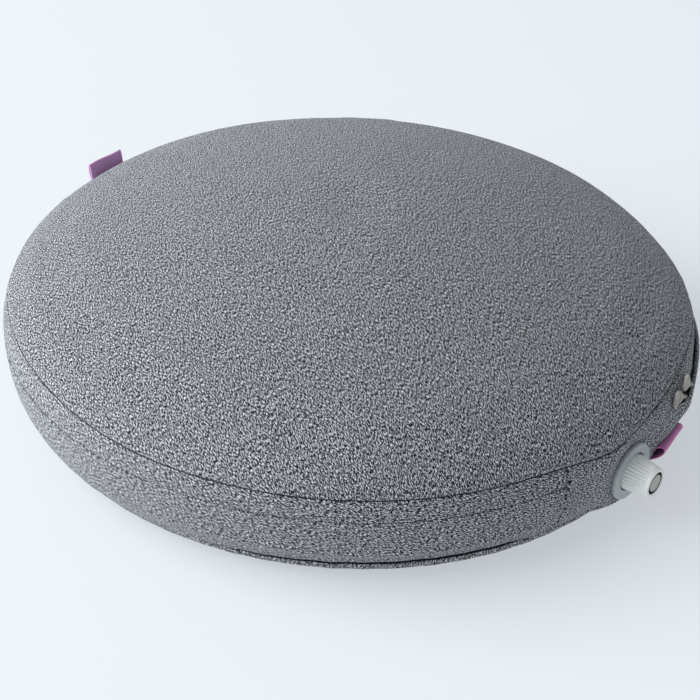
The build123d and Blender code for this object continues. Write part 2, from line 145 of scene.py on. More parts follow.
def on_cover(angle, s, height):
    """Points on the cover: angle round, distance s along the outline, height above it."""
    radius, z, normal_r, normal_z = outline(s)
    drawn_in = 1.2 * MM * np.exp(-(((np.degrees(angle) - 64) / 20) ** 2)) * normal_r
    reach = radius + normal_r * height - drawn_in
    up = z + normal_z * height
    points = np.stack([reach * np.cos(angle), reach * np.sin(angle), up], -1)
    return press_at_valve(points.reshape(-1, 3))


# %% [markdown]
# A sewn seam is never quite level. The top seam dips over the valve, where the patch pulls it down,
# and rides up beside it; the bottom seam is drawn up at the front, where the cover folds over. Bells
# and eases of the angle describe this, and every panel asks the same functions, so their edges meet.

# %% Where the seams wander
SEAM_GAP = 0.25 * MM


def bell(x, centre, width):
    """A smooth hump: 1 at the centre, near 0 beyond twice the width."""
    return np.exp(-(((x - centre) / width) ** 2))


def turn_of(angle):
    """An angle in degrees between -180 and 180."""
    return (np.degrees(angle) + 180) % 360 - 180


def top_seam(angle):
    a = turn_of(angle)
    return TOP_SEAM + (3.0 * bell(a, -115, 24) + 3.2 * bell(a, 19, 12) - 4.4 * bell(a, -6, 7.5)) * MM


def bottom_seam(angle):
    a = turn_of(angle)
    return BOTTOM_SEAM + (2.6 * bell(a, -40, 22) + 3.4 * bell(a, -4, 13)) * MM


def front_fold(angle, s):
    """The ridge and the hollow under it where the slack cover folds over at the front."""
    a = turn_of(angle)
    strength = ease(-100, -62, a) * (1 - ease(-26, -15, a))
    ridge = FLANK_END - 3.6 * MM
    return strength * (1.0 * bell(s, ridge, 2.6 * MM) - 1.7 * bell(s, ridge - 8.5 * MM, 5.0 * MM)) * MM


print("top seam wanders", np.round((top_seam(np.radians([-115, -6, 19])) - TOP_SEAM) * 1000, 1), "mm")

# %% [markdown]
# A small wrapper makes shader graphs readable: a socket that can be added and multiplied like a
# number, and one method that adds any other node. Colours are mixed with Mix nodes, because a Math
# node would turn them grey.

# %% Shader expressions
class Wire:
    """An output socket that works in Python sums; each operator adds one Math node."""

    def __init__(self, finish, socket):
        self.finish = finish
        self.socket = socket

    def _sum(self, operation, first, second):
        return self.finish.add("ShaderNodeMath", {"operation": operation}, {0: first, 1: second})

    def __add__(self, other):
        return self._sum("ADD", self, other)

    def __mul__(self, other):
        return self._sum("MULTIPLY", self, other)

    __radd__ = __add__
    __rmul__ = __mul__


class Finish:
    """A material whose nodes are added one call at a time."""

    def __init__(self, name, **constants):
        self.material = bpy.data.materials.new(name)
        self.material.use_nodes = True
        self.tree = self.material.node_tree
        self.shader = self.tree.nodes["Principled BSDF"]
        for socket, value in constants.items():
            self.shader.inputs[socket.replace("_", " ")].default_value = value

    def add(self, kind, settings, inputs, output=0):
        node = self.tree.nodes.new(kind)
        for key, value in settings.items():
            if key == "stops":
                ramp = node.color_ramp
                while len(ramp.elements) < len(value):
                    ramp.elements.new(0.5)
                for element, (place, colour) in zip(ramp.elements, value):
                    element.position = place
                    element.color = (*colour, 1) if len(colour) == 3 else colour
            else:
                setattr(node, key, value)
        for key, value in inputs.items():
            socket = node.inputs[key]
            if isinstance(value, Wire):
                self.tree.links.new(value.socket, socket)
            else:
                socket.default_value = value
        return Wire(self, node.outputs[output])

    def feed(self, **wires):
        for socket, wire in wires.items():
            self.tree.links.new(wire.socket, self.shader.inputs[socket.replace("_", " ")])

    def mix(self, share, first, second):
        """A colour between first and second."""
        settings = {"data_type": "RGBA", "clamp_factor": True}
        return self.add("ShaderNodeMix", settings, {0: share, 6: first, 7: second}, output=2)

    def place(self, source="Object", scale=(1000, 1000, 1000), turn=0.0):
        """Coordinates turned about Z by so many degrees and then scaled, to millimetres by default."""
        where = self.add("ShaderNodeTexCoord", {}, {}, output=source)
        if turn:
            turned = {"Vector": where, "Rotation": (0, 0, math.radians(turn))}
            where = self.add("ShaderNodeMapping", {"vector_type": "POINT"}, turned)
        return self.add("ShaderNodeMapping", {"vector_type": "POINT"}, {"Vector": where, "Scale": scale})

    def noise(self, where, scale, detail=2.0, roughness=0.5):
        inputs = {"Vector": where, "Scale": scale, "Detail": detail, "Roughness": roughness}
        return self.add("ShaderNodeTexNoise", {"noise_dimensions": "3D"}, inputs, output="Fac")

    def ramp(self, value, *stops):
        return self.add("ShaderNodeValToRGB", {"stops": stops}, {0: value}, output="Color")

    def bump(self, height, strength, depth):
        inputs = {"Height": height, "Strength": strength, "Distance": depth}
        self.feed(Normal=self.add("ShaderNodeBump", {}, inputs, output="Normal"))


print("a wire can be added and multiplied, from either side")

# %% [markdown]
# The cover is a heather knit: light and dark yarns are spun together, so the cloth shows short
# pale flecks on a darker blue-grey ground, all leaning one way with the twist of the yarn. Two
# stretched noises make the flecks, a finer one the single stitches, and a broad faint one the
# unevenness of a dyed batch. The pattern is placed by UV, which runs in metres along the cloth, so
# that it keeps its size and lean round the side.

# %% Knit finishes
def knit(name, lean=25.0):
    finish = Finish(name, Roughness=0.9, Sheen_Weight=0.12, Sheen_Roughness=0.5)
    finish.shader.inputs["Specular IOR Level"].default_value = 0.2
    finish.shader.inputs["Sheen Tint"].default_value = (0.9, 0.94, 1.0, 1)
    along = finish.place("UV", (620, 2300, 1), lean)
    across = finish.place("UV", (2300, 900, 1), lean + 12)
    fine = finish.place("UV", (2100, 2100, 1), lean)
    streaks = finish.noise(along, 1.0, 1.0, 0.5)
    flecks = finish.noise(across, 1.2, 1.0, 0.5)
    stitches = finish.noise(fine, 1.5, 1.0, 0.5)
    broad = finish.noise(finish.place("Object"), 0.02, 2.0)
    yarn = streaks * 0.46 + flecks * 0.26 + stitches * 0.28
    colour = finish.ramp(yarn, (0.455, INK), (0.495, GROUND), (0.522, PALE), (0.553, WHITE))
    shade = finish.mix(broad * 0.1, colour, (*GROUND, 1))
    finish.feed(Base_Color=shade, Roughness=0.78 + stitches * 0.2)
    finish.bump(yarn, 0.7, 0.0006)
    return finish.material


INK = (0.003, 0.003, 0.004)
GROUND = (0.020, 0.021, 0.026)
PALE = (0.120, 0.125, 0.142)
WHITE = (0.82, 0.84, 0.89)
KNIT = knit("heather_knit")
print("knit finish:", len(KNIT.node_tree.nodes), "nodes")

# %% [markdown]
# The hard finishes share one recipe: a base colour with faint mottling, roughness that varies with
# a fine noise, and a small bump so that highlights break up as they do on moulded parts.

# %% Moulded, metal and rubber finishes
def moulded(name, colour, roughness=0.45, grain=3.0, depth=0.00006, worn=0.12, **constants):
    finish = Finish(name, Roughness=roughness, **constants)
    where = finish.place("Object")
    mottle = finish.noise(where, 0.35, 3.0)
    grains = finish.noise(where, grain, 2.0, 0.6)
    darker = (*(c * (1 - worn) for c in colour), 1)
    lighter = (*(min(1, c * (1 + worn)) for c in colour), 1)
    finish.feed(Base_Color=finish.mix(mottle, darker, lighter))
    finish.feed(Roughness=roughness - 0.08 + grains * 0.16)
    finish.bump(grains, 0.4, depth)
    return finish.material


CAP_GREY = moulded("valve_grey", (0.90, 0.92, 0.90), 0.36, worn=0.04)
PLUG_GREY = moulded("plug_grey", (0.48, 0.46, 0.43), 0.5, worn=0.08)
ROSETTE_GREY = moulded("rosette_grey", (0.44, 0.475, 0.49), 0.5, grain=2.0, worn=0.08)
PULL_GREY = moulded("pull_grey", (0.36, 0.355, 0.32), 0.55, grain=2.4, worn=0.14)
SLIDER_METAL = moulded("slider_metal", (0.13, 0.13, 0.125), 0.38, grain=4.0, Metallic=0.9)
SEAL_RUBBER = moulded("seal_rubber", (0.02, 0.02, 0.02), 0.6)
FILM = moulded("bladder_film", (0.32, 0.36, 0.42), 0.35, grain=0.6)
# A flat dark grey that is painted shade: it goes on the walls of the pulls' slots and inside the valve cap's
# mouth to stand in for the shade deep in them.
RECESS_PAINTED_SHADE = moulded("painted_recess_shade", (0.07, 0.07, 0.066), 0.65)
COIL_NYLON = moulded("coil_nylon", (0.035, 0.035, 0.038), 0.4, worn=0.2)
print("finishes so far:", len(bpy.data.materials))

# %% [markdown]
# The zip tape is a close plain weave. Two crossed wave textures, one along and one across the tape,
# give the over-and-under of its threads.

# %% Woven finishes
def woven(name, colour, pale, pitch=0.9, rib=1.0, sheen=0.3, roughness=0.75):
    """A ribbon or tape: fine ribs across its length and crossed threads."""
    finish = Finish(name, Roughness=roughness, Sheen_Weight=sheen, Sheen_Roughness=0.35)
    where = finish.place("UV")
    waves = []
    for direction, scale in (("X", 0.5 / pitch), ("Y", 0.5 / (pitch * rib))):
        settings = {"wave_type": "BANDS", "bands_direction": direction}
        inputs = {"Vector": where, "Scale": scale, "Distortion": 0.6, "Detail": 1.0}
        waves.append(finish.add("ShaderNodeTexWave", settings, inputs, output="Fac"))
    threads = waves[0] * 0.55 + waves[1] * 0.45
    uneven = finish.noise(where, 0.7, 3.0)
    shade = threads * 0.6 + uneven * 0.4
    finish.feed(Base_Color=finish.mix(shade, (*colour, 1), (*pale, 1)))
    finish.feed(Roughness=roughness - 0.1 + threads * 0.2)
    finish.bump(threads, 0.6, 0.00025)
    return finish.material


TAPE = woven("zip_tape", (0.03, 0.03, 0.032), (0.085, 0.085, 0.085), 0.6)
RIBBON_BRIGHT = woven("ribbon_bright", (0.50, 0.10, 0.34), (0.80, 0.32, 0.62), 0.7, 1.6)
RIBBON_MUTED = woven("ribbon_muted", (0.55, 0.24, 0.56), (0.85, 0.50, 0.84), 0.7, 1.6)
print("woven finish:", len(TAPE.node_tree.nodes), "nodes")

# %% [markdown]
# Each cover panel is a grid: columns go round the cushion and rows along the outline. A grid keeps
# the seams exactly where they are sewn and carries a UV map in metres of cloth, which a remeshed
# surface would lose.

# %% Building a panel from a grid
def mesh_piece(name, points, faces, material, uvs=None, body="root"):
    """An object from points, faces and one UV pair for each point."""
    mesh = bpy.data.meshes.new(name)
    mesh.from_pydata([tuple(p) for p in points], [], faces)
    if uvs is not None:
        layer = mesh.uv_layers.new(name="cloth")
        corner = np.zeros(len(mesh.loops), int)
        mesh.loops.foreach_get("vertex_index", corner)
        layer.data.foreach_set("uv", np.asarray(uvs, float)[corner].ravel())
    mesh.shade_smooth()
    mesh.materials.append(material)
    piece = bpy.data.objects.new(name, mesh)
    bpy.context.scene.collection.objects.link(piece)
    if body:
        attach(piece, body)
    return piece


def grid_faces(rows, columns, closed):
    """Faces of a grid of points listed row by row; closed joins the last column to the first."""
    faces = []
    for row in range(rows - 1):
        for column in range(columns if closed else columns - 1):
            after = (column + 1) % columns
            low, high = row * columns, (row + 1) * columns
            faces.append((low + column, low + after, high + after, high + column))
    return faces


def thicken(piece, thickness=0.5 * MM):
    """Gives a cloth panel its thickness, inwards from the drawn face."""
    solid = piece.modifiers.new("cloth_thickness", "SOLIDIFY")
    solid.thickness = thickness
    solid.offset = -1
    solid.use_even_offset = False
    solid.use_rim = True
    return piece


def rows_between(start, end, count, crowd=0.0):
    """Stations along the outline, crowded towards both ends, where the cloth rolls over."""
    t = np.linspace(0, 1, count)
    bunched = (1 - np.cos(math.pi * t)) / 2
    return start + (end - start) * (t * (1 - crowd) + bunched * crowd)


def seam_roll(distance, depth=0.9 * MM, width=0.6 * MM):
    """How far cloth sinks near a seam at this distance along it."""
    return -depth * np.exp(-np.clip(distance, 0, None) / width)


def top_roll(angle, distance):
    """The top seam is drawn tight near the valve and lies shallower at the far left."""
    a = turn_of(angle)
    tight = 0.35 + 0.65 * ease(-95, -45, a)
    return seam_roll(distance) * tight


def pucker(angle, distance, reach=8 * MM, size=0.16 * MM):
    """Small gathers that a seam's thread pulls into the cloth beside it."""
    beat = np.sin(angle * 67) * 0.5 + np.sin(angle * 41 + 1.3) * 0.3 + np.sin(angle * 89 + 0.4) * 0.2
    return size * beat * np.exp(-np.clip(distance, 0, None) / reach)


def soft_swell(angle, s, size=0.5 * MM):
    """Slow unevenness of an inflated cover."""
    return size * (
        np.sin(angle * 3 + 0.7 + s * 18) * 0.5
        + np.sin(angle * 5 - 1.1 + s * 31) * 0.3
        + np.sin(angle * 9 + 2.0) * 0.2
    )


print("a seam sinks", round(float(-seam_roll(0.0)) / MM, 2), "mm where it is sewn")

# %% [markdown]
# The crown is one round panel sewn to the side band. On the real cushion air pressure pushes it up
# against its seam, so it is made the same way: a slightly low sheet, held at its rim, is inflated
# as cloth. How far each point may move is capped, so the result keeps to the solid model's shape.

# %% Crown panel, inflated as cloth
CROWN_COLUMNS = 360
START_DIP = 1.6 * MM


def crown_sheet():
    angle = np.linspace(0, 2 * math.pi, CROWN_COLUMNS, endpoint=False)
    rim = np.array([0.25, 0.6, 1.1, 1.8, 2.8])[:, None] * MM
    rest = np.linspace(0, 1, 66)[1:-1, None]
    near = top_seam(angle)[None, :] + rim
    s_grid = np.concatenate([near, near[-1] + (POLE - near[-1]) * rest])
    a_grid = np.broadcast_to(angle, s_grid.shape)
    from_seam = s_grid - top_seam(angle)
    height = top_roll(a_grid, from_seam) + pucker(a_grid, from_seam)
    height += soft_swell(a_grid, s_grid) * ease(0, 70 * MM, POLE - s_grid)
    height -= START_DIP * ease(4 * MM, 60 * MM, from_seam)
    points = on_cover(a_grid.ravel(), s_grid.ravel(), height.ravel())
    faces = grid_faces(*s_grid.shape, closed=True)
    pole = on_cover(np.zeros(1), np.full(1, POLE), np.full(1, -START_DIP))
    last = (len(s_grid) - 1) * CROWN_COLUMNS
    for column in range(CROWN_COLUMNS):
        faces.append((last + column, last + (column + 1) % CROWN_COLUMNS, len(points)))
    from_pole = (POLE - s_grid).ravel()
    uvs = np.stack([from_pole * np.cos(a_grid.ravel()), from_pole * np.sin(a_grid.ravel())], -1)
    points = np.concatenate([points, pole])
    uvs = np.concatenate([uvs, [[0, 0]]])
    return mesh_piece("crown_cover", points, faces, KNIT, uvs, body=None), len(faces)


def inflate(piece, held, cap, frames=20):
    """Blows a sheet up as cloth, with the held points pinned, and keeps each move under cap."""
    before = np.array([v.co for v in piece.data.vertices])
    group = piece.vertex_groups.new(name="seam")
    group.add([int(i) for i in held], 1.0, "REPLACE")
    cloth = piece.modifiers.new("air", "CLOTH")
    cloth.settings.quality = 5
    cloth.settings.mass = 0.3
    cloth.settings.tension_stiffness = 40
    cloth.settings.compression_stiffness = 40
    cloth.settings.bending_stiffness = 2.0
    cloth.settings.use_pressure = True
    cloth.settings.uniform_pressure_force = 6.0
    cloth.settings.vertex_group_mass = "seam"
    cloth.settings.effector_weights.gravity = 0
    cloth.point_cache.frame_start = 1
    cloth.point_cache.frame_end = frames
    for step in range(1, frames + 1):
        bpy.context.scene.frame_set(step)
    graph = bpy.context.evaluated_depsgraph_get()
    after = np.array([v.co for v in piece.evaluated_get(graph).data.vertices])
    piece.modifiers.remove(cloth)
    piece.vertex_groups.remove(group)
    move = after - before
    size = np.linalg.norm(move, axis=1, keepdims=True)
    move *= np.minimum(1, cap / np.maximum(size, 1e-9))
    piece.data.vertices.foreach_set("co", (before + move).astype(np.float32).ravel())
    piece.data.update()
    bpy.context.scene.frame_set(1)
    return float(size.mean()), float(size.max())


crown, crown_faces = crown_sheet()
print("crown rose, mean and most:", inflate(crown, range(CROWN_COLUMNS * 5), START_DIP))
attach(crown, "root")
thicken(crown)
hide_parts("cover_top_panel")
print("crown:", crown_faces, "faces")

# %% [markdown]
# Between the crown and the underside the side is cut in two by the zip. The cloth beside it is
# folded back behind itself into two rounded lips that nearly meet. Towards the parked sliders the
# lips part: the upper one sinks in and the lower one stands proud. Smooth functions of the angle
# say how far.

# %% The zip's lips
def lip_opening(angle):
    """How open the lips are round the zip: 0 closed, 1 at the sliders."""
    degrees = np.degrees(angle)
    rise = ease(math.degrees(ZIP_START) + 0.3, math.degrees(ZIP_START) + 3.5, degrees)
    return rise * (1 - ease(36, 68, degrees))


def lip_slack(angle):
    """1 round the far side, where the closed lips show a crisp gap, and 0 at the front."""
    a = turn_of(angle)
    return 1 - ease(-125, -95, a) * (1 - ease(40, 70, a))


def lip_fold(angle):
    """Radius of the folded lip."""
    return (0.45 + 0.4 * lip_slack(angle) + 0.6 * lip_opening(angle)) * MM


def lip_edge(angle, side):
    """Where the lip's outermost thread lies: side is 1 above the zip and -1 below it."""
    closed = 0.18 + 0.5 * lip_slack(angle)
    return side * (closed + (1.3 if side > 0 else 0.7) * lip_opening(angle)) * MM


def lip_rows(angle, side):
    """Rows for the folded-back lip: stations, the station each one sinks from, and how far."""
    edge, fold = lip_edge(angle, side), lip_fold(angle)
    bend = np.linspace(math.pi, 0, 8)[:-1, None]
    stations = edge + side * fold * (1 - np.sin(bend))
    sinking = -fold * (1 - np.cos(bend))
    inner = (edge + side * (fold + 2.5 * MM))[None, :]
    source = np.broadcast_to(edge + side * fold, (8, len(angle)))
    return np.concatenate([inner, stations]), source, np.concatenate([-2 * fold[None, :], sinking])


def band_grid(angle, side, far_edge, fractions):
    """Stations, source stations and sinkings of a whole band: its lip, then on to far_edge."""
    stations, source, sinking = lip_rows(angle, side)
    start = source[0]
    rest = start + (far_edge - start) * fractions[:, None]
    s_grid = np.concatenate([stations, rest])
    return s_grid, np.concatenate([source, rest]), np.concatenate([sinking, np.zeros_like(rest)])


def cloth_uv(a_grid, s_grid, source, sinking, side):
    """UVs in metres of cloth, carried on round the folded lip."""
    return np.stack([a_grid.ravel() * RADIUS, (source + side * sinking * 1.5).ravel()], -1)


def side_bulge(angle, s):
    """Slack that the parted zip lets stand out below it, beside the valve."""
    return 3.4 * MM * bell(turn_of(angle), 14, 7.5) * bell(s, -7 * MM, 9 * MM)


def end_roll(angle, depth=0.5 * MM, width=0.3 * MM):
    """The bands sink where their ends are sewn to the valve panel."""
    near = np.minimum(angle - ZIP_START, ZIP_END - angle) * RADIUS
    return seam_roll(near, depth, width)


open_edge = float(lip_edge(ZIP_START + math.radians(5), 1)) / MM
print("the upper lip's edge lies", round(open_edge, 2), "mm above the zip beside the sliders")
BAND_ANGLES = np.concatenate(
    [
        ZIP_START + np.radians([0, 0.12, 0.3, 0.6]),
        np.linspace(ZIP_START + math.radians(1), ZIP_END - math.radians(1), 700),
        ZIP_END - np.radians([0.6, 0.3, 0.12, 0]),
    ]
)


def upper_height(angle, s):
    from_seam = top_seam(angle) - s
    from_lip = s - lip_edge(angle, 1)
    height = top_roll(angle, from_seam) + pucker(angle, from_seam) + soft_swell(angle, s)
    a = turn_of(angle)
    set_back = 2.0 * lip_opening(angle) * ease(22, 32, a) - 0.5 * bell(a, 17, 5)
    height -= set_back * MM * (1 - ease(0, 9 * MM, from_lip))
    return height + end_roll(angle)


def upper_band_piece():
    far_edge = top_seam(BAND_ANGLES) - SEAM_GAP
    s_grid, source, sinking = band_grid(BAND_ANGLES, 1, far_edge, rows_between(0, 1, 28, 0.7))
    a_grid = np.broadcast_to(BAND_ANGLES, s_grid.shape)
    height = upper_height(a_grid, source) + sinking
    points = on_cover(a_grid.ravel(), s_grid.ravel(), height.ravel())
    uvs = cloth_uv(a_grid, s_grid, source, sinking, 1)
    return mesh_piece("upper_band", points, grid_faces(*s_grid.shape, closed=False), KNIT, uvs)


upper_band = thicken(upper_band_piece())
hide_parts("cover_upper_band")
print("upper band:", len(upper_band.data.polygons), "faces")

# %% [markdown]
# The lower band is wider and its far end is cut to a rounded corner that lies over the valve panel.
# So its last columns are pulled back near the bottom seam, by the amount a round corner needs.

# %% Lower band with its rounded end
CORNER = 15 * MM


def corner_setback(angle, s):
    """How far the band's end is cut back at the height s, for a round lower corner."""
    into = np.clip(bottom_seam(angle) + CORNER - s, 0, CORNER)
    return CORNER - np.sqrt(np.maximum(CORNER**2 - into**2, 0))


def lower_height(angle, s):
    from_seam = s - bottom_seam(angle)
    from_lip = lip_edge(angle, -1) - s
    a = turn_of(angle)
    height = seam_roll(from_seam, 1.2 * MM, 1.1 * MM) + pucker(angle, from_seam, size=0.25 * MM)
    height += soft_swell(angle, s, 0.7 * MM) + front_fold(angle, s)
    proud = lip_opening(angle) * (1 - ease(38, 60, a))
    height += proud * 2.5 * MM * (1 - ease(0, 14 * MM, from_lip))
    return height + side_bulge(angle, s)


def lower_band_piece():
    far_edge = bottom_seam(BAND_ANGLES) + SEAM_GAP
    s_grid, source, sinking = band_grid(BAND_ANGLES, -1, far_edge, rows_between(0, 1, 66, 0.5))
    share = (BAND_ANGLES - ZIP_START) / (ZIP_END - ZIP_START)
    setback = corner_setback(BAND_ANGLES, source) / RADIUS
    a_grid = BAND_ANGLES[None, :] - setback * ease(0.9, 1.0, share)[None, :]
    height = lower_height(a_grid, source) + sinking
    near_end = (ZIP_END - setback - a_grid) * RADIUS
    near_start = (a_grid - ZIP_START) * RADIUS
    height += 0.5 * MM * (1 - ease(5 * MM, 16 * MM, near_end))
    height += seam_roll(near_end, 1.0 * MM, 0.3 * MM) + seam_roll(near_start, 1.2 * MM, 1.0 * MM)
    points = on_cover(a_grid.ravel(), s_grid.ravel(), height.ravel())
    uvs = cloth_uv(a_grid, s_grid, source, sinking, -1)
    faces = [tuple(reversed(f)) for f in grid_faces(*s_grid.shape, closed=False)]
    return mesh_piece("lower_band", points, faces, KNIT, uvs)


lower_band = thicken(lower_band_piece())
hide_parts("cover_lower_band")
print("lower band:", len(lower_band.data.polygons), "faces")

# %% [markdown]
# The valve panel fills the gap between the bands' ends, in one piece from seam to seam. It reaches a
# little under both bands. The same pressing function that shapes its neighbours draws it out flat
# round the rosette, and a hole is left for the valve's stem.

# %% Valve panel and underside
def valve_panel_piece():
    band_end = ZIP_END - 2 * math.pi
    angles = np.linspace(band_end - math.radians(5.5), ZIP_START + math.radians(0.35), 300)
    fractions = rows_between(0, 1, 120, 0.4)[:, None]
    low, high = bottom_seam(angles) + SEAM_GAP, top_seam(angles) - SEAM_GAP
    s_grid = low + (high - low) * fractions
    a_grid = np.broadcast_to(angles, s_grid.shape)
    from_bottom = s_grid - bottom_seam(angles)
    from_top = top_seam(angles) - s_grid
    height = seam_roll(from_bottom, 1.2 * MM, 1.1 * MM) + top_roll(a_grid, from_top)
    height += pucker(a_grid, from_top)
    height += soft_swell(a_grid, s_grid)
    height += side_bulge(a_grid, s_grid)
    from_band = (a_grid - ZIP_END + 2 * math.pi) * RADIUS + corner_setback(angles, s_grid)
    groove = np.where(s_grid < 0, 1.9 * MM, 1.3 * MM)
    height -= 3.0 * MM * bell(np.clip(from_band, 0, None), 0, groove)
    from_start = (ZIP_START - a_grid) * RADIUS
    height -= 1.1 * MM * np.exp(-np.clip(from_start, 0, None) / (1.2 * MM))
    points = on_cover(a_grid.ravel(), s_grid.ravel(), height.ravel())
    away = np.hypot(points[:, 1], points[:, 2] - VALVE_Z)
    hole = ROSETTE_RADIUS * 0.72
    faces = [f for f in grid_faces(*s_grid.shape, closed=False) if min(away[list(f)]) > hole]
    uvs = np.stack([a_grid.ravel() * RADIUS, s_grid.ravel()], -1)
    piece = mesh_piece("valve_panel", points, faces, KNIT, uvs)
    cleaner = bmesh.new()
    cleaner.from_mesh(piece.data)
    bmesh.ops.delete(cleaner, geom=[v for v in cleaner.verts if not v.link_faces], context="VERTS")
    cleaner.to_mesh(piece.data)
    cleaner.free()
    return piece


valve_panel = thicken(valve_panel_piece())
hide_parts("cover_valve_panel")


UNDERSIDE_COLUMNS = 480


def underside_piece():
    """The bottom panel: a low dish that lies flat on the floor in the middle."""
    angles = np.linspace(0, 2 * math.pi, UNDERSIDE_COLUMNS, endpoint=False)
    edge = bottom_seam(angles) - SEAM_GAP
    near = edge - np.array([0, 0.4, 0.9, 1.6, 2.6, 4, 6, 9, 12])[:, None] * MM
    curl = near[-1] + (CURL_END - near[-1]) * np.linspace(0, 1, 9)[1:, None]
    flat = np.linspace(CURL_END, FLOOR_CENTRE, 22)[1:-1, None] * np.ones(UNDERSIDE_COLUMNS)
    s_grid = np.concatenate([near, curl, flat])
    a_grid = np.broadcast_to(angles, s_grid.shape)
    from_seam = bottom_seam(angles) - s_grid
    height = seam_roll(from_seam, 1.0 * MM, 1.0 * MM) + pucker(a_grid, from_seam, size=0.25 * MM)
    height += 0.9 * MM * np.exp(-((from_seam - 2.6 * MM) / (1.6 * MM)) ** 2)
    height += 1.2 * MM * bell(turn_of(a_grid), -25, 30) * bell(from_seam, 6 * MM, 4 * MM)
    points = on_cover(a_grid.ravel(), s_grid.ravel(), height.ravel())
    points[:, 2] = np.maximum(points[:, 2], 0)
    faces = [tuple(reversed(f)) for f in grid_faces(*s_grid.shape, closed=True)]
    last = (len(s_grid) - 1) * UNDERSIDE_COLUMNS
    points = np.concatenate([points, [[0, 0, 0]]])
    for column in range(UNDERSIDE_COLUMNS):
        after = (column + 1) % UNDERSIDE_COLUMNS
        faces.append((last + after, last + column, len(points) - 1))
    out = (s_grid - FLOOR_CENTRE).ravel()
    uvs = np.stack([out * np.cos(a_grid.ravel()), out * np.sin(a_grid.ravel())], -1)
    return mesh_piece("underside", points, faces, KNIT, np.concatenate([uvs, [[0, 0]]]))


underside = thicken(underside_piece())
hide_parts("cover_bottom_panel")
print("valve panel and underside:", len(valve_panel.data.polygons), len(underside.data.polygons))

# %% [markdown]
# A real coil zip is two nylon spirals whose turns mesh. Each spiral here is a thin tube swept round
# a helix by formula, so that the open stretch by the sliders shows turns and not a plain strip.

# %% Zip coils
def coil(name, node, side):
    low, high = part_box(node)
    middle_z = (low.z + high.z) / 2
    outer = high.y
    radial = 0.85 * MM
    tall = (high.z - low.z) / 2 - 0.18 * MM
    wire = 0.2 * MM
    pitch = 1.5 * MM
    centre = outer - radial - wire
    span = ZIP_END - ZIP_START - math.radians(0.4)
    turns = int(span * centre / pitch)
    per_turn = 9
    t = np.arange(turns * per_turn + 1) / per_turn
    angle = ZIP_START + math.radians(0.2) + span * t / turns
    swing = 2 * math.pi * t + (0 if side > 0 else math.pi)
    reach = centre + radial * np.cos(swing)
    z = middle_z + side * tall * np.sin(swing)
    path = np.stack([reach * np.cos(angle), reach * np.sin(angle), z], -1)
    tangent = np.gradient(path, axis=0)
    tangent /= np.linalg.norm(tangent, axis=1, keepdims=True)
    outwards = np.stack([np.cos(angle), np.sin(angle), np.zeros_like(angle)], -1)
    first = np.cross(tangent, outwards + np.array([0, 0, 0.35]))
    first /= np.linalg.norm(first, axis=1, keepdims=True)
    second = np.cross(tangent, first)
    sides = 4
    spokes = [2 * math.pi * k / sides for k in range(sides)]
    rings = [path + wire * (first * math.cos(k) + second * math.sin(k)) for k in spokes]
    points = np.stack(rings, 1).reshape(-1, 3)
    piece = mesh_piece(name, points, grid_faces(len(path), sides, closed=True), COIL_NYLON)
    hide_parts(node)
    return piece


upper_coil = coil("upper_coil", "zip_upper_coil", 1)
coil("lower_coil", "zip_lower_coil", -1)
print("coils:", len(upper_coil.data.polygons), "faces each")

# %% [markdown]
# The pulls are moulded tabs that widen from the eye to a thick rounded lip, with a cross slot
# before the lip and fine ridges down the middle. The face is a grid of points with the slot's cells
# left out; a second copy below it, joined round every open edge, closes it. Each pull is drawn flat
# in its own frame and then laid along its joint: the hinge gives the pivot and one axis, the solid
# model's pull the other.

# %% Zip pulls
def pull_axes(node, joint):
    """A matrix from the flat pull to its place: X to the tab's end, Y along the hinge, Z outwards."""
    pivot = Vector(joints[joint]["pos_m"])
    hinge = Vector(joints[joint]["axis"]).normalized()
    points = np.array([v.co for v in frame["nodes"][node].data.vertices])
    along = Vector(points.mean(0)) - pivot
    along = (along - hinge * along.dot(hinge)).normalized()
    outwards = hinge.cross(along)
    length = max(Vector(p - np.array(pivot)).dot(along) for p in points)
    axes = Matrix((along, -hinge, outwards)).transposed().to_4x4()
    axes.translation = pivot
    return axes, length


PULL_HALF_WIDTH = 4.3 * MM
SLOT_HALF_WIDTH = 2.9 * MM


def pull_face(length):
    """Grid of the pull's face: the points, the half thickness at each, and the faces."""
    slot_from, slot_to = length - 6.6 * MM, length - 3.0 * MM
    before = np.linspace(1.2 * MM, slot_from, 22)
    beside = np.linspace(slot_from, slot_to, 5)[1:]
    beyond = np.linspace(slot_to, length, 16)[1:]
    along = np.concatenate([before, beside, beyond])
    across = np.linspace(-1, 1, 41)
    x, v = np.meshgrid(along, across, indexing="ij")
    widen = np.clip((x - 2.4 * MM) / (length - 6.5 * MM), 0, 1)
    half = 1.0 * MM + (PULL_HALF_WIDTH - 1.0 * MM) * widen
    tip = np.clip((x - (length - 1.8 * MM)) / (1.8 * MM), 0, 1)
    half = half * np.sqrt(1 - 0.5 * tip**2)
    y = v * half
    lip = ease(length - 3.4 * MM, length - 2.9 * MM, x)
    rim = ease(0.74, 0.86, np.abs(v)) * (half > 1.6 * MM)
    ridges = 0.5 + 0.5 * np.cos(y * 2 * math.pi / (1.1 * MM))
    middle = 0.55 + 0.22 * ridges * (1 - rim) + 0.32 * rim
    thick = middle * (1 - lip) + 1.2 * lip
    thick = thick * (1 - 0.85 * np.abs(v) ** 10) * np.sqrt(1 - 0.93 * tip**5)
    keep = []
    for quad in grid_faces(*x.shape, closed=False):
        corners = list(quad)
        inside_x = slot_from < x.ravel()[corners].mean() < slot_to
        if not (inside_x and np.abs(y.ravel()[corners]).mean() < SLOT_HALF_WIDTH):
            keep.append(quad)
    return np.stack([x.ravel(), y.ravel()], -1), thick.ravel() * MM, keep


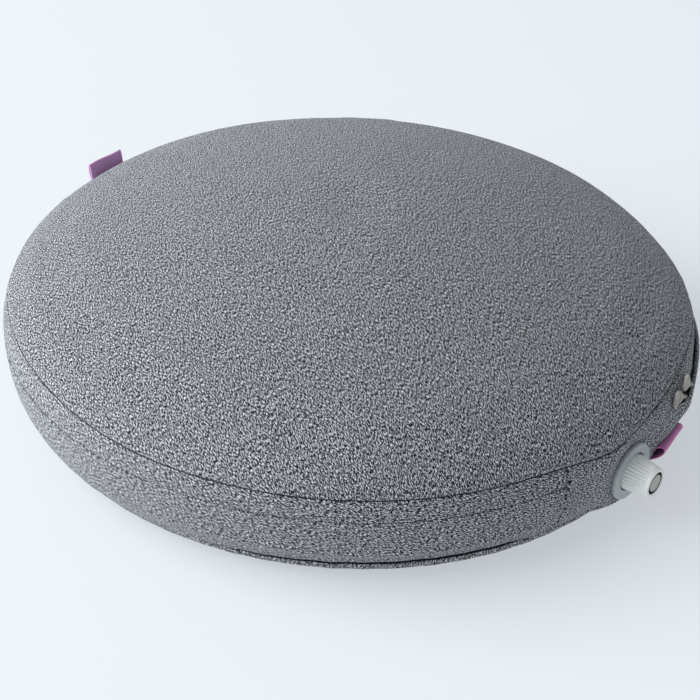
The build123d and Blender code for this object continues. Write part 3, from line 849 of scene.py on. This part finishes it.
def close_slab(plane, thick, faces):
    """Two copies of a flat grid, above and below, with walls round every open edge."""
    count = len(plane)
    top = np.column_stack([plane, thick])
    bottom = np.column_stack([plane, -thick])
    walls = []
    edges = {(a, b) for face in faces for a, b in zip(face, face[1:] + face[:1])}
    for a, b in sorted(edges):
        if (b, a) not in edges:
            walls.append((b, a, a + count, b + count))
    below = [tuple(reversed([i + count for i in face])) for face in faces]
    return np.concatenate([top, bottom]), faces + below + walls


def pull_piece(name, node, joint, body):
    axes, length = pull_axes(node, joint)
    points, faces = close_slab(*pull_face(length))
    piece = mesh_piece(name, points, faces, PULL_GREY, body=None)
    # The slot's side walls get the second material, a dark grey of painted shade that stands in for the shade
    # inside the slot.
    piece.data.materials.append(RECESS_PAINTED_SHADE)
    for face in piece.data.polygons:
        in_slot = abs(face.center.y) < SLOT_HALF_WIDTH + 0.2 * MM
        in_slot = in_slot and length - 6.7 * MM < face.center.x < length - 2.9 * MM
        if in_slot and abs(face.normal.z) < 0.5:
            face.material_index = 1
    add_eye(piece)
    piece.data.transform(axes)
    piece.data.set_sharp_from_angle(angle=math.radians(40))
    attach(piece, body)
    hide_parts(node)
    return piece


def add_eye(piece):
    """Adds the round eye that runs on the slider's bar: a short thick tube."""
    mesh = bmesh.new()
    mesh.from_mesh(piece.data)
    around = 28
    outer, inner, half = 1.45 * MM, 0.62 * MM, 0.95 * MM
    section = [(outer, -0.8), (outer, 0.8), (outer - 0.2 * MM, 1), (inner + 0.1 * MM, 1)]
    section += [(inner, 0.85), (inner, -0.85), (inner + 0.1 * MM, -1), (outer - 0.2 * MM, -1)]
    rings = []
    for k in range(around):
        turn = 2 * math.pi * k / around
        ring = [mesh.verts.new((r * math.cos(turn), w * half, r * math.sin(turn))) for r, w in section]
        rings.append(ring)
    for k in range(around):
        here, there = rings[k], rings[(k + 1) % around]
        for j in range(len(section)):
            after = (j + 1) % len(section)
            mesh.faces.new((here[j], here[after], there[after], there[j]))
    loose = [v for v in mesh.verts if not v.link_faces]
    bmesh.ops.delete(mesh, geom=loose, context="VERTS")
    bmesh.ops.recalc_face_normals(mesh, faces=mesh.faces[:])
    mesh.to_mesh(piece.data)
    mesh.free()


first_pull = pull_piece("first_pull_tab", "first_zip_pull", "first_pull_swing", "first_pull")
pull_piece("second_pull_tab", "second_zip_pull", "second_pull_swing", "second_pull")
print("pulls:", len(first_pull.data.polygons), "faces each")

# %% [markdown]
# The twist cap is turned from one profile, with thirty rounded ribs round its grip that fade into a
# smooth rim at the mouth. The ribs are a wave added to the radius, which gives soft moulded ribs
# with no joins.

# %% Valve cap
cap_low, cap_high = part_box("valve_cap")
CAP_RIBS = 30
rim_radius = 7.75 * MM


def turned(name, profile, node, slot, material, body, around, ripple=None):
    """A piece turned about the valve's axis from (x, radius) points, closed on itself."""
    points = []
    for x, radius in profile:
        for k in range(around):
            turn = 2 * math.pi * k / around
            reach = radius + (ripple(x, radius, turn) if ripple else 0)
            points.append((x, reach * math.cos(turn), VALVE_Z + reach * math.sin(turn)))
    faces = grid_faces(len(profile), around, closed=True)
    last = (len(profile) - 1) * around
    for k in range(around):
        after = (k + 1) % around
        faces.append((last + k, last + after, after, k))
    piece = mesh_piece(name, points, faces, material, body=body)
    mesh = bmesh.new()
    mesh.from_mesh(piece.data)
    bmesh.ops.recalc_face_normals(mesh, faces=mesh.faces[:])
    mesh.to_mesh(piece.data)
    mesh.free()
    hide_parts(node)
    return piece


def cap_profile():
    base, mouth = cap_low.x, cap_high.x
    wide = (cap_high.z - cap_low.z) / 2
    collar = mouth - 1.7 * MM
    outside = [
        (base, wide - 0.75 * MM),
        (base + 0.15 * MM, wide - 0.35 * MM),
        (base + 0.5 * MM, wide - 0.1 * MM),
    ]
    for t in np.linspace(0, 1, 22):
        outside.append((base + 0.9 * MM + (collar - base - 1.3 * MM) * t, wide - (wide - rim_radius) * t))
    outside += [
        (collar, rim_radius + 0.02 * MM),
        (mouth - 0.5 * MM, rim_radius),
        (mouth - 0.15 * MM, rim_radius - 0.15 * MM),
        (mouth, rim_radius - 0.5 * MM),
        (mouth, 6.3 * MM),
        (mouth - 0.15 * MM, 6.05 * MM),
        (mouth - 0.5 * MM, 5.9 * MM),
        (mouth - 3.4 * MM, 5.7 * MM),
        (mouth - 3.65 * MM, 5.5 * MM),
        (mouth - 3.7 * MM, 4.62 * MM),
        (mouth - 3.9 * MM, 4.62 * MM),
        (mouth - 3.95 * MM, 6.56 * MM),
        (base, 6.56 * MM),
    ]
    return outside


def cap_ribs(x, radius, turn):
    along = ease(cap_low.x + 0.3 * MM, cap_low.x + 1.2 * MM, x)
    along *= 1 - ease(cap_high.x - 2.6 * MM, cap_high.x - 1.8 * MM, x)
    outer = 1.0 if radius > rim_radius - 0.1 * MM else 0.0
    wave = abs(math.cos(turn * CAP_RIBS / 2)) ** 0.8
    return -0.85 * MM * (1 - wave) * float(along) * outer


valve_cap = turned(
    "twist_cap", cap_profile(), "valve_cap", "valve_grey", CAP_GREY, "twist_cap", CAP_RIBS * 12, cap_ribs
)
# Faces deep inside the cap's mouth get the second material, a dark grey of painted shade that stands in for
# the shade within the mouth.
valve_cap.data.materials.append(RECESS_PAINTED_SHADE)
valve_cap.data.set_sharp_from_angle(angle=math.radians(50))
for face in valve_cap.data.polygons:
    out = math.hypot(face.center.y, face.center.z - VALVE_Z)
    if out < 6.0 * MM and face.center.x < cap_high.x - 0.4 * MM:
        face.material_index = 1
print("valve cap:", len(valve_cap.data.polygons), "faces")

# %% [markdown]
# The rosette is a soft plastic ring round the valve. It is slightly dished and its edges are
# rounded, which catches a thin line of light.

# %% Rosette
def rosette_profile():
    back, front = rosette_low.x, rosette_high.x
    outer = ROSETTE_RADIUS
    inner = 10.1 * MM
    round_off = [(math.sin(a), 1 - math.cos(a)) for a in np.linspace(0, math.pi / 2, 6)]
    edge = 0.9 * MM
    profile = [(back, inner), (back, outer - 0.3 * MM), (back + 0.3 * MM, outer)]
    profile += [(front - edge + edge * x, outer - edge * y) for x, y in round_off]
    profile += [(front - 0.25 * MM, (outer + inner) / 2)]
    profile += [(front - edge * 0.6 + edge * 0.6 * x, inner + edge * 0.6 * y) for x, y in reversed(round_off)]
    return profile


rosette = turned(
    "rosette", rosette_profile(), "cover_rosette", "rosette", ROSETTE_GREY, "root", 120
)
print("rosette:", len(rosette.data.polygons), "faces")

# %% [markdown]
# Both ribbons are the same woven strip, folded over and sewn down by its ends. A strip is a short
# curve in the plane of the outline, swept a ribbon's width round the cushion, so it is drawn once
# as a curve and given its width and a little waviness by formula.

# %% Ribbon loops
RIBBON_WIDTH = 25 * MM


def ribbon(name, node, centre_line, angle, material, flare, width=RIBBON_WIDTH):
    """A ribbon whose middle line is (radius, height) points, swept across its width."""
    low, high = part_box(node)
    line = np.array(centre_line)
    steps = np.concatenate([[0], np.cumsum(np.linalg.norm(np.diff(line, axis=0), axis=1))])
    fine = np.linspace(0, steps[-1], 90)
    smooth = np.stack([np.interp(fine, steps, line[:, k]) for k in (0, 1)], -1)
    for _ in range(14):
        smooth[1:-1] = (smooth[:-2] + 2 * smooth[1:-1] + smooth[2:]) / 4
    across = np.linspace(-0.5, 0.5, 41)
    a_grid = angle + across[None, :] * width / RADIUS * np.ones((len(smooth), 1))
    lift = np.sin(fine / steps[-1] * math.pi)[:, None]
    reach = smooth[:, 0][:, None] + lift * flare * across[None, :] ** 2 * 4
    z = smooth[:, 1][:, None] + lift * 0.25 * MM * np.sin(across * 7)[None, :]
    points = np.stack([reach * np.cos(a_grid), reach * np.sin(a_grid), z], -1).reshape(-1, 3)
    uvs = np.stack(
        [np.tile(across * width, len(smooth)), np.repeat(fine, len(across))], -1
    )
    piece = mesh_piece(name, points, grid_faces(len(smooth), len(across), closed=False), material, uvs)
    solid = piece.modifiers.new("ribbon_thickness", "SOLIDIFY")
    solid.thickness = 0.7 * MM
    solid.offset = 0
    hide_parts(node)
    return piece


def loop_line(low, high, foot, mouth_height, lean):
    """Middle line of an open loop: up from its foot, round the tip and back beside itself."""
    root = Vector((low, foot))
    tip = Vector((high, mouth_height))
    along = (tip - root).normalized()
    side = Vector((-along.y, along.x))
    length = (tip - root).length
    points = []
    for t in np.linspace(0, 1, 40):
        turn = math.pi * 2 * t
        forward = (1 - math.cos(turn)) / 2 * length
        spread = lean * math.sin(turn) * (0.55 + 0.45 * forward / length)
        point = root + along * forward - side * spread
        points.append((point.x, point.y))
    return points


loop_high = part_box("valve_side_loop")[1]
RIBBON_SPAN = RIBBON_WIDTH / RADIUS
near_side = (loop_high.y - loop_high.x * math.sin(RIBBON_SPAN)) / math.cos(RIBBON_SPAN)
LOOP_ANGLE = math.atan2(near_side, loop_high.x) + RIBBON_SPAN / 2
LOOP_TIP = math.hypot(near_side, loop_high.x) - 1.3 * MM
LOOP_ROOT = LOOP_TIP - 10.2 * MM
loop_points = loop_line(LOOP_ROOT, LOOP_TIP, loop_high.z - 11.6 * MM, loop_high.z - 0.7 * MM, 3.0 * MM)
ribbon(
    "bright_loop",
    "valve_side_loop",
    loop_points,
    LOOP_ANGLE - math.radians(0.3),
    RIBBON_BRIGHT,
    0.4 * MM,
    23.5 * MM,
)
tab_low, tab_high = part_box("far_side_tab")
TAB_TIP = -tab_low.x - 0.9 * MM
TAB_ROOT = TAB_TIP - 2.2 * MM
tab_points = loop_line(TAB_ROOT, TAB_TIP, tab_low.z + 0.6 * MM, tab_high.z - 0.3 * MM, 0.8 * MM)
TAB_ANGLE = math.atan2((tab_low.y + tab_high.y) / 2, (tab_low.x + tab_high.x) / 2)
ribbon(
    "muted_tab", "far_side_tab", tab_points, TAB_ANGLE, RIBBON_MUTED, 0.2 * MM
)
print("ribbons at", round(math.degrees(LOOP_ANGLE), 1), "and", round(math.degrees(TAB_ANGLE), 1))

# %% [markdown]
# The solid parts that already have their true shape stay as they are and only get their finishes.

# %% Finishes for the carried-over parts
KEPT = {
    "zip_upper_tape": TAPE,
    "zip_lower_tape": TAPE,
    "zip_end_stops": SLIDER_METAL,
    "first_zip_slider": SLIDER_METAL,
    "second_zip_slider": SLIDER_METAL,
    "valve_stem": PLUG_GREY,
    "valve_plug": PLUG_GREY,
    "plug_seal": SEAL_RUBBER,
    "cap_o_ring": SEAL_RUBBER,
    "rosette_back_ring": ROSETTE_GREY,
    "bladder_top_skin": FILM,
    "bladder_bottom_skin": FILM,
}
for node, material in KEPT.items():
    mesh = frame["nodes"][node].data
    mesh.materials.clear()
    mesh.materials.append(material)
print("finished", len(KEPT), "carried-over parts")

# %% [markdown]
# The room is a sheet of pale paper under a pale world. One very large soft light stands far off to
# the left, so that side goes pale and the front right falls into shade. It is far away so that the
# floor is lit evenly.

# %% Floor, lights and camera
VIEW = math.radians(39)
ELEVATION = math.radians(35.27)
DISTANCE = 0.9756
ROLL = math.radians(2.55)
LENS = 92.57
SHIFT = (0.0041, 0.035)


def paper_floor():
    """Matt white paper that glows a little, as on a light table, which keeps shadows pale."""
    finish = Finish("floor_paper", Roughness=0.6)
    finish.shader.inputs["Emission Color"].default_value = (0.95, 1.0, 1.035, 1)
    finish.shader.inputs["Emission Strength"].default_value = 0.46
    cloud = finish.noise(finish.place("Object"), 0.004, 2.0)
    finish.feed(Base_Color=finish.mix(cloud, (0.40, 0.42, 0.435, 1), (0.41, 0.43, 0.445, 1)))
    return finish.material


floor = mesh_piece(
    "floor",
    [(-6, -6, -0.0004), (6, -6, -0.0004), (6, 6, -0.0004), (-6, 6, -0.0004)],
    [(0, 1, 2, 3)],
    paper_floor(),
    body=None,
)


def soft_light(name, power, size, azimuth, elevation, distance=4.0, colour=(1, 1, 1)):
    """A square area light aimed at the cushion, placed by the direction it shines from."""
    data = bpy.data.lights.new(name, "AREA")
    data.energy = power
    data.size = size
    data.color = colour
    lamp = bpy.data.objects.new(name, data)
    bpy.context.scene.collection.objects.link(lamp)
    a, e = math.radians(azimuth), math.radians(elevation)
    out = Vector((math.cos(a) * math.cos(e), math.sin(a) * math.cos(e), math.sin(e)))
    lamp.location = out * distance
    lamp.rotation_mode = "QUATERNION"
    lamp.rotation_quaternion = out.to_track_quat("Z", "Y")
    return lamp


soft_light("window", 300, 4.5, 226, 29, colour=(0.97, 0.985, 1.0))

world = bpy.data.worlds.new("studio")
world.use_nodes = True
world.node_tree.nodes["Background"].inputs["Color"].default_value = (0.92, 0.955, 1.0, 1)
world.node_tree.nodes["Background"].inputs["Strength"].default_value = 0.37
bpy.context.scene.world = world
bpy.context.scene.view_settings.view_transform = "Standard"


def place_camera():
    back = Vector(
        (
            math.sin(VIEW) * math.cos(ELEVATION),
            -math.cos(VIEW) * math.cos(ELEVATION),
            math.sin(ELEVATION),
        )
    )
    right = Vector((math.cos(VIEW), math.sin(VIEW), 0))
    up = back.cross(right)
    rolled_right = right * math.cos(ROLL) + up * math.sin(ROLL)
    rolled_up = up * math.cos(ROLL) - right * math.sin(ROLL)
    data = bpy.data.cameras.new("camera")
    data.lens = LENS
    data.sensor_width = 36
    data.shift_x, data.shift_y = SHIFT
    camera = bpy.data.objects.new("camera", data)
    bpy.context.scene.collection.objects.link(camera)
    turn = Matrix((rolled_right, rolled_up, back)).transposed().to_4x4()
    camera.matrix_world = Matrix.Translation(back * DISTANCE) @ turn
    bpy.context.scene.camera = camera


place_camera()
print("camera", DISTANCE, "m away, lens", LENS, "mm")
